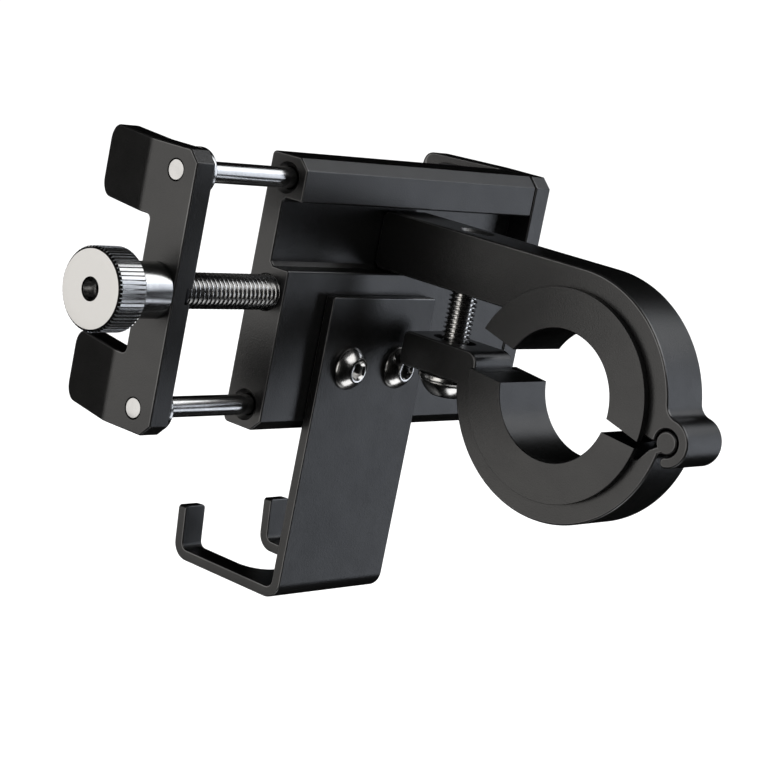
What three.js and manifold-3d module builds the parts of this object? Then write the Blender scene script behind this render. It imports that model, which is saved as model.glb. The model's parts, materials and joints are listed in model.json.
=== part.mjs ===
// Phone handlebar mount: a sliding-jaw phone cradle on a hinged bar clamp.
// Millimetres, +Z up. The origin is the centre of the handlebar bore, the bar runs along X,
// and the phone lies on the +Y side of the cradle.
import * as THREE from 'three';
import { mergeVertices } from 'three/addons/utils/BufferGeometryUtils.js';
import Module from 'manifold-3d';

const wasm = await Module();
wasm.setup();

// ---- Driving dimensions ----
const FIT = 0.15;             // gap between flat faces that are screwed together
const RUN = 0.25;             // gap round a shaft or bolt in its hole

const BAR_R = 11.1;           // 22.2 mm handlebar
const SEAT_R = 16;            // clamp bore that takes the reducers
const RING_R = 21.5;          // outside of the clamp ring
const ARM_W = 10.4;           // clamp width along the bar
const ARM_TOP = RING_R;
const ARM_BOTTOM = 11.2;
const FLANGE_R = 18;          // reducer flanges lap over the clamp's sides
const FLANGE_T = 1.3;

const HINGE = { y: -22.3, z: -1.7, bead: 1.95, socket: 2.25, outer: 4.1, tip: 262 };
const LUG = { end: 34.5, top: 2.3, bottom: -3.7 };
const BOLT = { y: 27.2, r: 2.5, headR: 4.75, headH: 2.75, length: 26 };
const WASHER = { r: 5.2, t: 1 };

const BLOCK = { half: 31.6, back: 40, thick: 8.4, bottom: -17.2, top: 29.7, chamfer: 1.9 };
const FRONT = BLOCK.back + BLOCK.thick;
const CHANNEL = { low: 10.9, high: 22.4, depth: 4.3, corner: 0.7 };
const MID_Y = BLOCK.back + BLOCK.thick / 2;
const MID_Z = (BLOCK.bottom + BLOCK.top) / 2;
const ROD = { r: 1.75, spread: 19.55, insert: 34 };
const SCREW = { r: 3, insert: 34 };
const BORE_DEPTH = 56;

const OPEN = 21.8;            // gap between block and sliding jaw as drawn
const JAW = { t: 4.2, back: 39.8, bend: 50.25, tip: 64.8, angle: THREE.MathUtils.degToRad(18) };
const NOTCH = { half: 11.4, y: 48.15 };
const PAD = { t: 1.1, from: 2.2, to: 11.6, margin: 1.4 };
const COLLAR = { r: 3.95, t: 1.05 };

const KNOB = { r: 6.8, length: 6, hubR: 4.6, hubLength: 7.7, teeth: 60, bevel: 0.5 };

const TRAY = { x: -7.35, half: 13.7, t: 1.95, top: 7, bottom: -47.35, reach: 63.9, lip: -37.8 };
const SLOT = { half: 8.7, y: 48, r: 4.6 };
const TRAY_SCREW = { gap: 6.5, z: -5.5 };
const ARM_SCREW_Z = (ARM_TOP + ARM_BOTTOM) / 2;
const M4 = { r: 1.95, headR: 3.8, headH: 2.2, socket: 1.45 };

// ---- Materials ----
const anodised = { color: 0x17181a, roughness: 0.42, metalness: 0.55 };
const steel = { color: 0xc4c3c0, roughness: 0.24, metalness: 1 };
const blackSteel = { color: 0x26272a, roughness: 0.35, metalness: 0.9 };
const rubber = { color: 0x101011, roughness: 0.85, metalness: 0 };

// ---- Outlines ----
function arc(cx, cy, r, from, to, steps) {
  const points = [];
  for (let i = 0; i <= steps; i += 1) {
    const a = THREE.MathUtils.degToRad(from + ((to - from) * i) / steps);
    points.push(new THREE.Vector2(cx + r * Math.cos(a), cy + r * Math.sin(a)));
  }
  return points;
}

// A closed outline from corners [a, b, radius]; a radius of 0 or none keeps the corner sharp.
function rounded(corners, steps = 5) {
  const points = [];
  corners.forEach(([a, b, r = 0], i) => {
    const at = new THREE.Vector2(a, b);
    if (r === 0) {
      points.push(at);
      return;
    }
    const before = corners[(i + corners.length - 1) % corners.length];
    const after = corners[(i + 1) % corners.length];
    const toBefore = new THREE.Vector2(before[0], before[1]).sub(at).normalize();
    const toAfter = new THREE.Vector2(after[0], after[1]).sub(at).normalize();
    const half = Math.acos(THREE.MathUtils.clamp(toBefore.dot(toAfter), -1, 1)) / 2;
    const centre = toBefore.clone().add(toAfter).normalize().multiplyScalar(r / Math.sin(half));
    centre.add(at);
    const start = toBefore.clone().multiplyScalar(r / Math.tan(half)).add(at).sub(centre);
    const turn = Math.PI - 2 * half;
    const side = Math.sign(toBefore.cross(toAfter));
    for (let k = 0; k <= steps; k += 1) {
      const swing = (-side * turn * k) / steps;
      points.push(start.clone().rotateAround(new THREE.Vector2(), swing).add(centre));
    }
  });
  return points;
}

// The same outline without points that fall on their neighbour.
function tidy(points) {
  return points.filter((p, i) => p.distanceTo(points[(i + 1) % points.length]) > 0.02);
}

// ---- Solids ----
function toSolid(geometry) {
  const bare = geometry.clone();
  bare.deleteAttribute('normal');
  bare.deleteAttribute('uv');
  const merged = mergeVertices(bare, 1e-4);
  return new wasm.Manifold(new wasm.Mesh({
    numProp: 3,
    vertProperties: new Float32Array(merged.attributes.position.array),
    triVerts: new Uint32Array(merged.index.array),
  }));
}

function toGeometry(solid) {
  const { vertProperties, triVerts } = solid.getMesh();
  const geometry = new THREE.BufferGeometry();
  geometry.setAttribute('position', new THREE.BufferAttribute(vertProperties, 3));
  geometry.setIndex(new THREE.BufferAttribute(triVerts, 1));
  geometry.computeVertexNormals();
  return geometry;
}

function moved(solid, offset, turn = [0, 0, 0]) {
  const spin = new THREE.Euler(...turn.map((angle) => THREE.MathUtils.degToRad(angle)));
  const matrix = new THREE.Matrix4().makeRotationFromEuler(spin).setPosition(...offset);
  return toSolid(toGeometry(solid).applyMatrix4(matrix));
}

const AXES = {
  x: new THREE.Matrix4().makeBasis(
    new THREE.Vector3(0, 1, 0),
    new THREE.Vector3(0, 0, 1),
    new THREE.Vector3(1, 0, 0),
  ),
  y: new THREE.Matrix4().makeBasis(
    new THREE.Vector3(0, 0, 1),
    new THREE.Vector3(1, 0, 0),
    new THREE.Vector3(0, 1, 0),
  ),
  z: new THREE.Matrix4(),
};

// A prism along an axis from `from` to `to`. Outlines are (Y, Z) for x, (Z, X) for y, (X, Y) for z.
function prism(axis, outline, from, to, bevel = 0) {
  const geometry = new THREE.ExtrudeGeometry(new THREE.Shape(outline), {
    depth: to - from - 2 * bevel,
    bevelEnabled: bevel > 0,
    bevelThickness: bevel,
    bevelSize: bevel,
    bevelOffset: -bevel,
    bevelSegments: 1,
    curveSegments: 1,
  });
  geometry.translate(0, 0, from + bevel);
  return toSolid(geometry.applyMatrix4(AXES[axis]));
}

// A turned solid about an axis. The profile holds (radius, distance along the axis).
function turned(axis, profile, segments = 32) {
  const outline = profile.map(([r, along]) => new THREE.Vector2(r, along));
  const geometry = new THREE.LatheGeometry(outline, segments);
  geometry.applyMatrix4(new THREE.Matrix4().makeRotationX(Math.PI / 2));
  return toSolid(geometry.applyMatrix4(AXES[axis]));
}

function rod(axis, r, from, to, segments = 32) {
  return turned(axis, [[0, from], [r, from], [r, to], [0, to]], segments);
}

function ring(axis, inner, outer, from, to, segments = 32) {
  const profile = [[inner, from], [outer, from], [outer, to], [inner, to], [inner, from]];
  return turned(axis, profile, segments);
}

function hexSocket(axis, r, from, to) {
  return rod(axis, r, from, to, 6);
}

// ---- Nodes ----
const mount = new THREE.Group();

function node(name, solid, finish, position = [0, 0, 0], turn = [0, 0, 0]) {
  const mesh = new THREE.Mesh(toGeometry(solid), new THREE.MeshStandardMaterial(finish));
  mesh.name = name;
  mesh.position.set(...position);
  mesh.rotation.set(...turn);
  mount.add(mesh);
  return mesh;
}

// ---- Clamp arm: a square bar keyed into the cradle's channel, ending in the upper half ring ----
function clampArm() {
  const root = BLOCK.back + CHANNEL.depth - FIT;
  const key = CHANNEL.corner + 0.3;
  const { y, z, socket, outer } = HINGE;
  const wall = (outer - socket) / 2;
  const tipAngle = THREE.MathUtils.degToRad(HINGE.tip);
  const tip = [y + (socket + wall) * Math.cos(tipAngle), z + (socket + wall) * Math.sin(tipAngle)];
  const outline = rounded([
    [root, ARM_BOTTOM + key], [root, ARM_TOP - key], [root - key, ARM_TOP],
  ]).concat(
    arc(0, 0, RING_R, 90, 168.5, 22),
    arc(-23.52, 4.785, 2.5, -11.5, -79.35, 6),
    arc(y, z, outer, 100.65, HINGE.tip, 18),
    arc(...tip, wall, HINGE.tip, HINGE.tip + 180, 8),
    arc(y, z, socket, HINGE.tip, -7, 24),
    rounded([[-19.4, -2]]),
    arc(0, 0, SEAT_R, 184.3, THREE.MathUtils.radToDeg(Math.asin(ARM_BOTTOM / SEAT_R)), 36),
    rounded([[root - key, ARM_BOTTOM]]),
  );
  return prism('x', tidy(outline), -ARM_W / 2, ARM_W / 2, 0.25)
    .subtract(moved(rod('z', BOLT.r + RUN, 0, 2 * RING_R), [0, BOLT.y, 0]))
    .subtract(moved(rod('y', 2.5 + RUN, 31.4, 2 * BLOCK.back), [0, 0, ARM_SCREW_Z]));
}

// ---- Lower clamp half: bead, thin neck, half ring, step and bolt lug ----
function clampLower() {
  const { y, z, bead } = HINGE;
  const outline = arc(y, z, bead, -32, 285, 28).concat(
    arc(0, 0, RING_R, 190.3, 350.1, 44),
    rounded([[21.4, LUG.bottom], [LUG.end, LUG.bottom, 1.3], [LUG.end, LUG.top, 1.3],
      [17.9, LUG.top, 2.2], [17.9, -0.3]]),
    arc(0, 0, SEAT_R, 358.9, 204.3, 40),
    rounded([[-17.6, -5.7], [-19.4, -3.5]]),
  );
  const slot = rounded([[-2.9, BOLT.y - 4, 2.8], [2.9, BOLT.y - 4, 2.8],
    [2.9, BOLT.y + 4, 2.8], [-2.9, BOLT.y + 4, 2.8]]);
  return prism('x', tidy(outline), -ARM_W / 2, ARM_W / 2, 0.25)
    .subtract(prism('z', slot, LUG.bottom - 1, LUG.top + 1));
}

// ---- Reducers: flanged half bushes that bring the seat down to the handlebar ----
function reducer(side, offset, tilt) {
  const half = ARM_W / 2 + 0.1;
  const edge = half + FLANGE_T;
  const web = SEAT_R - 0.2;
  const profile = [[BAR_R, -edge], [FLANGE_R, -edge], [FLANGE_R, -half], [web, -half],
    [web, half], [FLANGE_R, half], [FLANGE_R, edge], [BAR_R, edge], [BAR_R, -edge]];
  const lean = THREE.MathUtils.degToRad(tilt);
  const keep = rounded([[-40, side * offset], [40, side * offset], [40, side * 40],
    [-40, side * 40]]).map((p) => p.rotateAround(new THREE.Vector2(), lean));
  return turned('x', profile, 72).intersect(prism('x', keep, -20, 20));
}

// ---- Button-head screw: the head's flat side is at 0, the shank runs to +length ----
function buttonScrew(axis, r, headR, headH, length, socket) {
  const head = [[0, -headH], [headR * 0.62, -headH], [headR * 0.8, -headH * 0.86],
    [headR * 0.94, -headH * 0.55], [headR, -headH * 0.15], [headR, 0]];
  const shank = [[r, 0], [r, length - 0.5], [r - 0.5, length], [0, length]];
  return turned(axis, [...head, ...shank]).subtract(
    hexSocket(axis, socket, -headH - 1, -headH * 0.4),
  );
}

// ---- Countersunk screw: the flat head's face is at 0, the shank runs to +length ----
function flatScrew(axis, r, headR, length, socket) {
  const profile = [[0, 0], [headR, 0], [headR, 0.3], [r, headR - r + 0.3], [r, length - 0.4],
    [r - 0.4, length], [0, length]];
  return turned(axis, profile).subtract(hexSocket(axis, socket, -1, 1.6));
}

function flatScrewHole(axis, r, headR, length) {
  const wide = headR + 0.2;
  const bore = r + 0.2;
  const profile = [[0, -1], [wide, -1], [wide, 0.3], [bore, wide - bore + 0.3], [bore, length],
    [0, length]];
  return turned(axis, profile);
}

// ---- Cradle block: a bar with a channel along its back for the clamp arm ----
function cradleBlock() {
  const { back, bottom, top, chamfer, half } = BLOCK;
  const floor = back + CHANNEL.depth;
  const { low, high, corner } = CHANNEL;
  const outline = rounded([
    [back, bottom + chamfer], [back, low, 0.3], [floor - corner, low], [floor, low + corner],
    [floor, high - corner], [floor - corner, high], [back, high, 0.3], [back, top - chamfer],
    [back + chamfer, top], [FRONT, top, 0.8], [FRONT, bottom, 1], [back + chamfer, bottom],
  ], 3);
  let block = prism('x', outline, -half, half, 0.25);
  for (const side of [-1, 1]) {
    const z = MID_Z + side * ROD.spread;
    const trayScrewX = TRAY.x + side * TRAY_SCREW.gap;
    block = block
      .subtract(moved(rod('x', ROD.r + RUN, -half - 1, -half + BORE_DEPTH), [0, MID_Y, z]))
      .subtract(moved(rod('x', M4.r + 0.2, half - 6.3, half + 1), [0, MID_Y, z]))
      .subtract(moved(rod('y', M4.r + 0.2, back - 1, back + 6.4), [trayScrewX, 0, TRAY_SCREW.z]));
  }
  const screwBore = rod('x', SCREW.r + 0.3, -half - 1, -half + BORE_DEPTH);
  const armScrewHole = flatScrewHole('y', 2.5, 4.6, 8);
  return block
    .subtract(moved(screwBore, [0, MID_Y, MID_Z]))
    .subtract(moved(armScrewHole, [0, FRONT, ARM_SCREW_Z], [0, 0, 180]));
}

// ---- Jaws: a plate bent inward beyond the phone, with a U notch between its two prongs ----
// `side` is -1 for the sliding jaw and 1 for the fixed jaw; `inner` is its inner face.
// A point of the bent part, `s` along it from the bend and `out` from its inner face.
function onSlope(side, inner, s, out) {
  const { angle, bend } = JAW;
  return [
    side * (inner + out * Math.cos(angle) - s * Math.sin(angle)),
    bend + s * Math.cos(angle) + out * Math.sin(angle),
  ];
}

function jawPlate(side, inner) {
  const { t, back, bend, tip, angle } = JAW;
  const outer = inner + t;
  const innerReach = (tip - bend) / Math.cos(angle);
  const outerReach = innerReach - t * Math.tan(angle);
  const arcOut = arc(0, 0, t, 0, THREE.MathUtils.radToDeg(angle), 4)
    .map((p) => [side * (inner + p.x), bend + p.y]);
  const strip = rounded([
    [side * inner, back],
    [side * outer, back],
    ...arcOut,
    [...onSlope(side, inner, outerReach, t), 0.5],
    [...onSlope(side, inner, innerReach, 0), 2.2],
    [side * inner, bend],
  ]);
  const low = MID_Z - NOTCH.half;
  const high = MID_Z + NOTCH.half;
  const c = BLOCK.chamfer;
  const face = rounded([
    [back, BLOCK.bottom + c, 0.4], [back, BLOCK.top - c, 0.4], [back + c, BLOCK.top, 0.4],
    [tip, BLOCK.top, 2.8], [tip, high, 2.8], [NOTCH.y, high, 0.8], [NOTCH.y, low, 0.8],
    [tip, low, 2.8], [tip, BLOCK.bottom, 2.8], [back + c, BLOCK.bottom, 0.4],
  ]);
  const reach = side * outer;
  return prism('z', strip, BLOCK.bottom - 1, BLOCK.top + 1)
    .intersect(prism('x', face, Math.min(0, reach * 1.5), Math.max(0, reach * 1.5)));
}

function slidingJaw(inner) {
  let jaw = jawPlate(-1, inner);
  for (const side of [-1, 1]) {
    const hole = rod('x', ROD.r + 0.1, -inner - 9, -inner + 9);
    jaw = jaw.subtract(moved(hole, [0, MID_Y, MID_Z + side * ROD.spread]));
  }
  const screwHole = rod('x', SCREW.r + 0.3, -inner - 9, -inner + 9);
  const ringSeat = rod('x', 4.6, -inner - 1.4, -inner + 9);
  return jaw
    .subtract(moved(screwHole, [0, MID_Y, MID_Z]))
    .subtract(moved(ringSeat, [0, MID_Y, MID_Z]));
}

function fixedJaw(inner) {
  let jaw = jawPlate(1, inner);
  for (const side of [-1, 1]) {
    const centre = [inner + JAW.t, MID_Y, MID_Z + side * ROD.spread];
    jaw = jaw.subtract(moved(flatScrewHole('x', M4.r, 3.7, 12), centre, [0, 180, 0]));
  }
  return jaw;
}

function jawPad(side, inner, prongSide) {
  const { t, from, to, margin } = PAD;
  const outline = rounded([
    [...onSlope(side, inner, from, -0.1)],
    [...onSlope(side, inner, to, -0.1)],
    [...onSlope(side, inner, to, -0.1 - t), 0.6],
    [...onSlope(side, inner, from, -0.1 - t), 0.6],
  ]);
  const height = BLOCK.top - (MID_Z + NOTCH.half) - 2 * margin;
  const middle = MID_Z + prongSide * (NOTCH.half + margin + height / 2);
  return prism('z', outline, middle - height / 2, middle + height / 2, 0.3);
}

// ---- Thumb knob: knurled disc with a smooth hub, its inner end at 0, running to -X ----
function thumbKnob() {
  const { r, length, hubR, hubLength, teeth, bevel } = KNOB;
  const face = -(hubLength + length);
  const knurl = [];
  for (let i = 0; i < teeth; i += 1) {
    const a = (2 * Math.PI * i) / teeth;
    const b = a + Math.PI / teeth;
    knurl.push(new THREE.Vector2(r * Math.cos(a), r * Math.sin(a)));
    knurl.push(new THREE.Vector2((r - 0.4) * Math.cos(b), (r - 0.4) * Math.sin(b)));
  }
  const envelope = turned('x', [[0, face], [r - bevel, face], [r, face + bevel],
    [r, -hubLength - bevel], [r - bevel, -hubLength], [0, -hubLength]], 60);
  return prism('x', knurl, face - 1, -hubLength + 1)
    .intersect(envelope)
    .add(rod('x', hubR, -hubLength - 1, 0))
    .subtract(rod('x', 1.75, face - 1, 1))
    .subtract(rod('x', SCREW.r + 0.15, face + 5, 1));
}

// ---- Support tray: plate, floor and two upturned hooks with a wide slot between them ----
function supportTray() {
  const { x, half, t, top, bottom, reach, lip } = TRAY;
  const inner = BLOCK.back - FIT;
  const outer = inner - t;
  const lean = 0.9;
  const profile = rounded([
    [outer, top, 0.3], [outer, bottom, 3.2], [reach, bottom, 3.2], [reach + lean, lip, 0.5],
    [reach + lean - 1.9, lip, 0.5], [reach - 1.9, bottom + t, 1.3], [inner, bottom + t, 1.3],
    [inner, top, 0.3],
  ], 6);
  const slot = rounded([[x - SLOT.half, SLOT.y, SLOT.r], [x + SLOT.half, SLOT.y, SLOT.r],
    [x + SLOT.half, reach + 9], [x - SLOT.half, reach + 9]]);
  let tray = prism('x', profile, x - half, x + half, 0.25)
    .subtract(prism('z', slot, bottom - 1, lip + 1));
  for (const side of [-1, 1]) {
    const centre = [x + side * TRAY_SCREW.gap, 0, TRAY_SCREW.z];
    tray = tray.subtract(moved(rod('y', M4.r + 0.25, outer - 1, inner + 1), centre));
  }
  return tray;
}

// ---- Assembly ----
const jawInner = BLOCK.half + OPEN;
const knobEnd = -(jawInner + JAW.t + FIT);

node('clamp_arm_upper', clampArm(), anodised);
node('clamp_jaw_lower', clampLower(), anodised);
node('reducer_upper', reducer(1, 2.33, 16.1), anodised);
node('reducer_lower', reducer(-1, 2.02, 6.1), anodised);
const headTop = LUG.bottom - FIT - WASHER.t - 0.05;
node('clamp_washer', ring('z', BOLT.r + RUN, WASHER.r, -WASHER.t, 0), steel,
  [0, BOLT.y, LUG.bottom - FIT]);
node('clamp_bolt', buttonScrew('z', BOLT.r, BOLT.headR, BOLT.headH, BOLT.length, 1.75), steel,
  [0, BOLT.y, headTop]);

node('cradle_block', cradleBlock(), anodised);
node('arm_screw', flatScrew('y', 2.5, 4.6, 15.5, 1.75), blackSteel,
  [0, FRONT - 0.1, ARM_SCREW_Z], [0, 0, Math.PI]);
node('face_pad', prism('y', rounded([[-21, -28.5, 3], [21, -28.5, 3], [21, 28.5, 3],
  [-21, 28.5, 3]], 4), 0, 1.4, 0.3), rubber, [0, FRONT + FIT, MID_Z]);

node('right_jaw', fixedJaw(BLOCK.half + FIT), anodised);
node('left_jaw', slidingJaw(jawInner), anodised);
const levels = [['upper', 1], ['lower', -1]];
for (const [level, side] of levels) {
  const z = MID_Z + side * ROD.spread;
  node(`right_pad_${level}`, jawPad(1, BLOCK.half + FIT, side), rubber);
  node(`left_pad_${level}`, jawPad(-1, jawInner, side), rubber);
  node(`right_jaw_screw_${level}`, flatScrew('x', M4.r, 3.7, 9.6, 1.25), blackSteel,
    [BLOCK.half + FIT + JAW.t - 0.1, MID_Y, z], [0, Math.PI, 0]);
  const start = -(jawInner + JAW.t);
  const end = -BLOCK.half + ROD.insert;
  node(`guide_rod_${level}`, turned('x', [[0, 0], [ROD.r, 0], [ROD.r, end - start - 0.4],
    [ROD.r - 0.4, end - start], [0, end - start]]), steel, [start, MID_Y, z]);
  node(`rod_collar_${level}`, ring('x', ROD.r + 0.1, COLLAR.r, 0, COLLAR.t), steel,
    [-jawInner + FIT, MID_Y, z]);
}

node('thumb_knob', thumbKnob(), steel, [knobEnd, MID_Y, MID_Z]);
const tail = KNOB.hubLength + KNOB.length - 5;
const screwEnd = -BLOCK.half + SCREW.insert - knobEnd;
node('lead_screw', turned('x', [[0, -tail - 2], [1.55, -tail - 2], [1.55, -tail + 0.3],
  [SCREW.r - 0.4, -tail + 0.3], [SCREW.r, -tail + 0.7], [SCREW.r, screwEnd - 0.6],
  [SCREW.r - 0.6, screwEnd], [0, screwEnd]]), steel, [knobEnd, MID_Y, MID_Z]);
node('screw_retaining_ring', ring('x', SCREW.r + 0.1, 4.2, 0, 0.8), blackSteel,
  [-jawInner - 1.2, MID_Y, MID_Z]);

node('support_tray', supportTray(), anodised);
for (const [name, side] of [['left', -1], ['right', 1]]) {
  node(`tray_screw_${name}`, buttonScrew('y', M4.r, M4.headR, M4.headH, 7.8, M4.socket), steel,
    [TRAY.x + side * TRAY_SCREW.gap, BLOCK.back - FIT - TRAY.t - 0.1, TRAY_SCREW.z]);
}

export default mount;
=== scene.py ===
"""Looks of a phone handlebar mount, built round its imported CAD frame.

Lengths in the shape code are millimetres in the row frame; make() turns them into metres.
"""

import json
import math

import bmesh
import bpy
from mathutils import Matrix, Vector


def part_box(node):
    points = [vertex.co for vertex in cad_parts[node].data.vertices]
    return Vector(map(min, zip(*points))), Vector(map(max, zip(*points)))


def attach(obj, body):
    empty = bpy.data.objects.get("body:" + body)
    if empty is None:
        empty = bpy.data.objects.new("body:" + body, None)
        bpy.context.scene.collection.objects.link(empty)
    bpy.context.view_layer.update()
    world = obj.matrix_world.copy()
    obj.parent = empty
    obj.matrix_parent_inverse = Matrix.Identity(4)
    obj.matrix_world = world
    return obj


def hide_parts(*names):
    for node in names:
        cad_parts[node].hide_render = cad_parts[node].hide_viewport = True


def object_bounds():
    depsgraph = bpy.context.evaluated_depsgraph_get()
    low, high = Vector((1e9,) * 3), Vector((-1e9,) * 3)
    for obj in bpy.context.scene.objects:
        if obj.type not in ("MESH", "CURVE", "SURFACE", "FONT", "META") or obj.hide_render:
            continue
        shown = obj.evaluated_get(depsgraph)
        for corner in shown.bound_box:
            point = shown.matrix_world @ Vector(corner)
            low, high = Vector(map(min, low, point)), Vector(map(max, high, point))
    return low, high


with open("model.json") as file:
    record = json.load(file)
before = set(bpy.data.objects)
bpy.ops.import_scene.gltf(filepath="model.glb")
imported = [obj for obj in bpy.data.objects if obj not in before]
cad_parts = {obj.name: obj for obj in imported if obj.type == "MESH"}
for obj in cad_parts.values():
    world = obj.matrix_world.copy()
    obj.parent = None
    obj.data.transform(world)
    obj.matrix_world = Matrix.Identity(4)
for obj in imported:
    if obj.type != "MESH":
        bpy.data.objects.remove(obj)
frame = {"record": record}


def plain(bounds):
    return [[float(value) for value in corner] for corner in bounds]


cad_bounds = plain(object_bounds())

MM = 0.001


def box(node):
    """Lowest and highest corner of a CAD node, in millimetres."""
    low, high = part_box(node)
    return low / MM, high / MM


# ---------------------------------------------------------------- driving places and sizes
block_lo, block_hi = box("cradle_block")
arm_lo, arm_hi = box("clamp_arm_upper")
lower_lo, lower_hi = box("clamp_jaw_lower")
left_lo, _ = box("left_jaw")
_, right_hi = box("right_jaw")
tray_lo, tray_hi = box("support_tray")
knob_lo, knob_hi = box("thumb_knob")
screw_lo, screw_hi = box("lead_screw")
bolt_lo, bolt_hi = box("clamp_bolt")
pad_lo, pad_hi = box("face_pad")

HALF = block_hi.x                       # half the block's width
BACK = block_lo.y                       # back face of the block
FRONT = block_hi.y                      # front face of the block
BOTTOM = block_lo.z
TOP = block_hi.z
MID_Z = (BOTTOM + TOP) / 2
MID_Y = (knob_lo.y + knob_hi.y) / 2     # line of the lead screw and the rods
CHAMFER = 1.9                           # on the block's and the jaws' back edges
CHANNEL_LOW = 10.9                      # the arm's channel: lower side, upper side and depth
CHANNEL_HIGH = 22.4
CHANNEL_DEPTH = 4.3
ROD_SPREAD = 19.55                      # from the lead screw's line to each rod's
ROD_R = 1.75
SCREW_R = 3.0
M4_R = 1.95                             # the M4 screws' thread, a little under its nominal radius
M4_TAP_R = 2.15
M5_R = 2.5
M5_CLEAR_R = 2.75
ARM_W = arm_hi.x - arm_lo.x
ARM_BOTTOM = 11.2
RING_R = arm_hi.z
ARM_SCREW_Z = (RING_R + ARM_BOTTOM) / 2
SEAT_R = 16.0                           # the clamp's own bore, which holds the reducers
BAR_R = 11.1                            # the handlebar
FLANGE_R = 18.0
FLANGE_T = 1.3
BOLT_Y = (bolt_lo.y + bolt_hi.y) / 2
LUG_TOP = 2.3
LUG_BOTTOM = -3.7
HINGE_Y = -22.3
HINGE_Z = -1.7
HINGE_BEAD = 1.95
HINGE_SOCKET = 2.25
HINGE_OUTER = 4.1
JAW_T = 4.2
JAW_BEND = 50.25                        # y of the bend in the jaws' plates, and of their tips
JAW_TIP = 64.8
JAW_ANGLE = 18.0
NOTCH_HALF = 11.4                       # the notch between a jaw's prongs
NOTCH_Y = 48.15
TRAY_T = 1.95
TURN_STEPS = 48                         # flats round a drilled hole or one turn of a thread


# ---------------------------------------------------------------- outlines
def arc(cx, cy, r, start, end, steps):
    """Points on an arc, from start to end in degrees."""
    points = []
    for i in range(steps + 1):
        a = math.radians(start + (end - start) * i / steps)
        points.append(Vector((cx + r * math.cos(a), cy + r * math.sin(a))))
    return points


def rounded(corners, steps=8):
    """A closed outline from corners (a, b) or (a, b, radius)."""
    points = []
    count = len(corners)
    for i, corner in enumerate(corners):
        at = Vector(corner[:2])
        r = corner[2] if len(corner) > 2 else 0
        if not r:
            points.append(at)
            continue
        before = (Vector(corners[i - 1][:2]) - at).normalized()
        after = (Vector(corners[(i + 1) % count][:2]) - at).normalized()
        half = math.acos(max(-1, min(1, before.dot(after)))) / 2
        centre = at + (before + after).normalized() * (r / math.sin(half))
        spoke = at + before * (r / math.tan(half)) - centre
        turn = math.pi - 2 * half
        side = 1 if before.x * after.y - before.y * after.x > 0 else -1
        for k in range(steps + 1):
            points.append(centre + Matrix.Rotation(-side * turn * k / steps, 2) @ spoke)
    return points


def tidy(points, least=0.02):
    """The same outline without points that fall on their neighbour."""
    return [p for i, p in enumerate(points) if (p - points[(i + 1) % len(points)]).length > least]


def inset(points, d):
    """The outline moved inward by d, a length or one length a point. It runs anticlockwise."""
    moved = []
    count = len(points)
    each = d if isinstance(d, list) else [d] * count
    for i, p in enumerate(points):
        a = (p - points[i - 1]).normalized()
        b = (points[(i + 1) % count] - p).normalized()
        na = Vector((-a.y, a.x))
        nb = Vector((-b.y, b.x))
        moved.append(p + (na + nb) * (each[i] / (1 + na.dot(nb))))
    return moved


def anticlockwise(points):
    area = sum(p.x * points[i - 1].y - p.y * points[i - 1].x for i, p in enumerate(points))
    return list(points) if area < 0 else list(reversed(points))


# ---------------------------------------------------------------- solids, as bmesh
TO_WORLD = {
    "x": lambda a, b, along: Vector((along, a, b)),
    "y": lambda a, b, along: Vector((b, along, a)),
    "z": lambda a, b, along: Vector((a, b, along)),
}


def outward(bm):
    """Turns every face of a closed bmesh outward."""
    bmesh.ops.recalc_face_normals(bm, faces=bm.faces)
    if bm.calc_volume(signed=True) < 0:
        bmesh.ops.reverse_faces(bm, faces=bm.faces)
    return bm


def skin(bm, rings, marks):
    """Quads between rings of vertices. marks[i] is the material index between ring i and i + 1."""
    for i in range(len(rings) - 1):
        low, high = rings[i], rings[i + 1]
        count = len(low)
        for k in range(count):
            n = (k + 1) % count
            corners = []
            for v in (low[k], low[n], high[n], high[k]):
                if v not in corners:
                    corners.append(v)
            if len(corners) > 2:
                bm.faces.new(corners).material_index = marks[i]


def prism(axis, outline, lo, hi, r, steps, softer=None):
    """A prism with its end edges rounded to r. Rounded faces get material index 1.

    softer, if given, takes a point of the outline and returns the rounding there at the lo end.
    """
    bm = bmesh.new()
    outline = anticlockwise(tidy(outline))
    start = [softer(p) if softer else r for p in outline]
    rings = []
    for k in range(steps + 1):
        a = math.pi / 2 * k / steps
        loop = inset(outline, [radius * (1 - math.sin(a)) for radius in start])
        rings.append([
            bm.verts.new(TO_WORLD[axis](q.x, q.y, lo + radius * (1 - math.cos(a))))
            for q, radius in zip(loop, start)
        ])
    for k in range(steps, -1, -1):
        a = math.pi / 2 * k / steps
        loop = inset(outline, r * (1 - math.sin(a)))
        rings.append([
            bm.verts.new(TO_WORLD[axis](q.x, q.y, hi - r * (1 - math.cos(a)))) for q in loop
        ])
    marks = [1] * steps + [0] + [1] * steps
    skin(bm, rings, marks)
    bm.faces.new(list(reversed(rings[0])))
    bm.faces.new(rings[-1])
    return outward(bm)


def lathe(axis, profile, segments, centre, marks=None):
    """A turned solid. The profile holds (radius, along) and starts and ends on the axis, or closes."""
    bm = bmesh.new()
    rings = []
    for r, along in profile:
        if r < 1e-6:
            rings.append([bm.verts.new(TO_WORLD[axis](0, 0, along))] * segments)
            continue
        ring = []
        for k in range(segments):
            a = 2 * math.pi * k / segments
            ring.append(bm.verts.new(TO_WORLD[axis](r * math.cos(a), r * math.sin(a), along)))
        rings.append(ring)
    if profile[0][0] > 1e-6:
        rings.append(rings[0])
    skin(bm, rings, marks or [0] * (len(rings) - 1))
    bmesh.ops.translate(bm, vec=Vector(centre), verts=bm.verts)
    return outward(bm)


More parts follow.
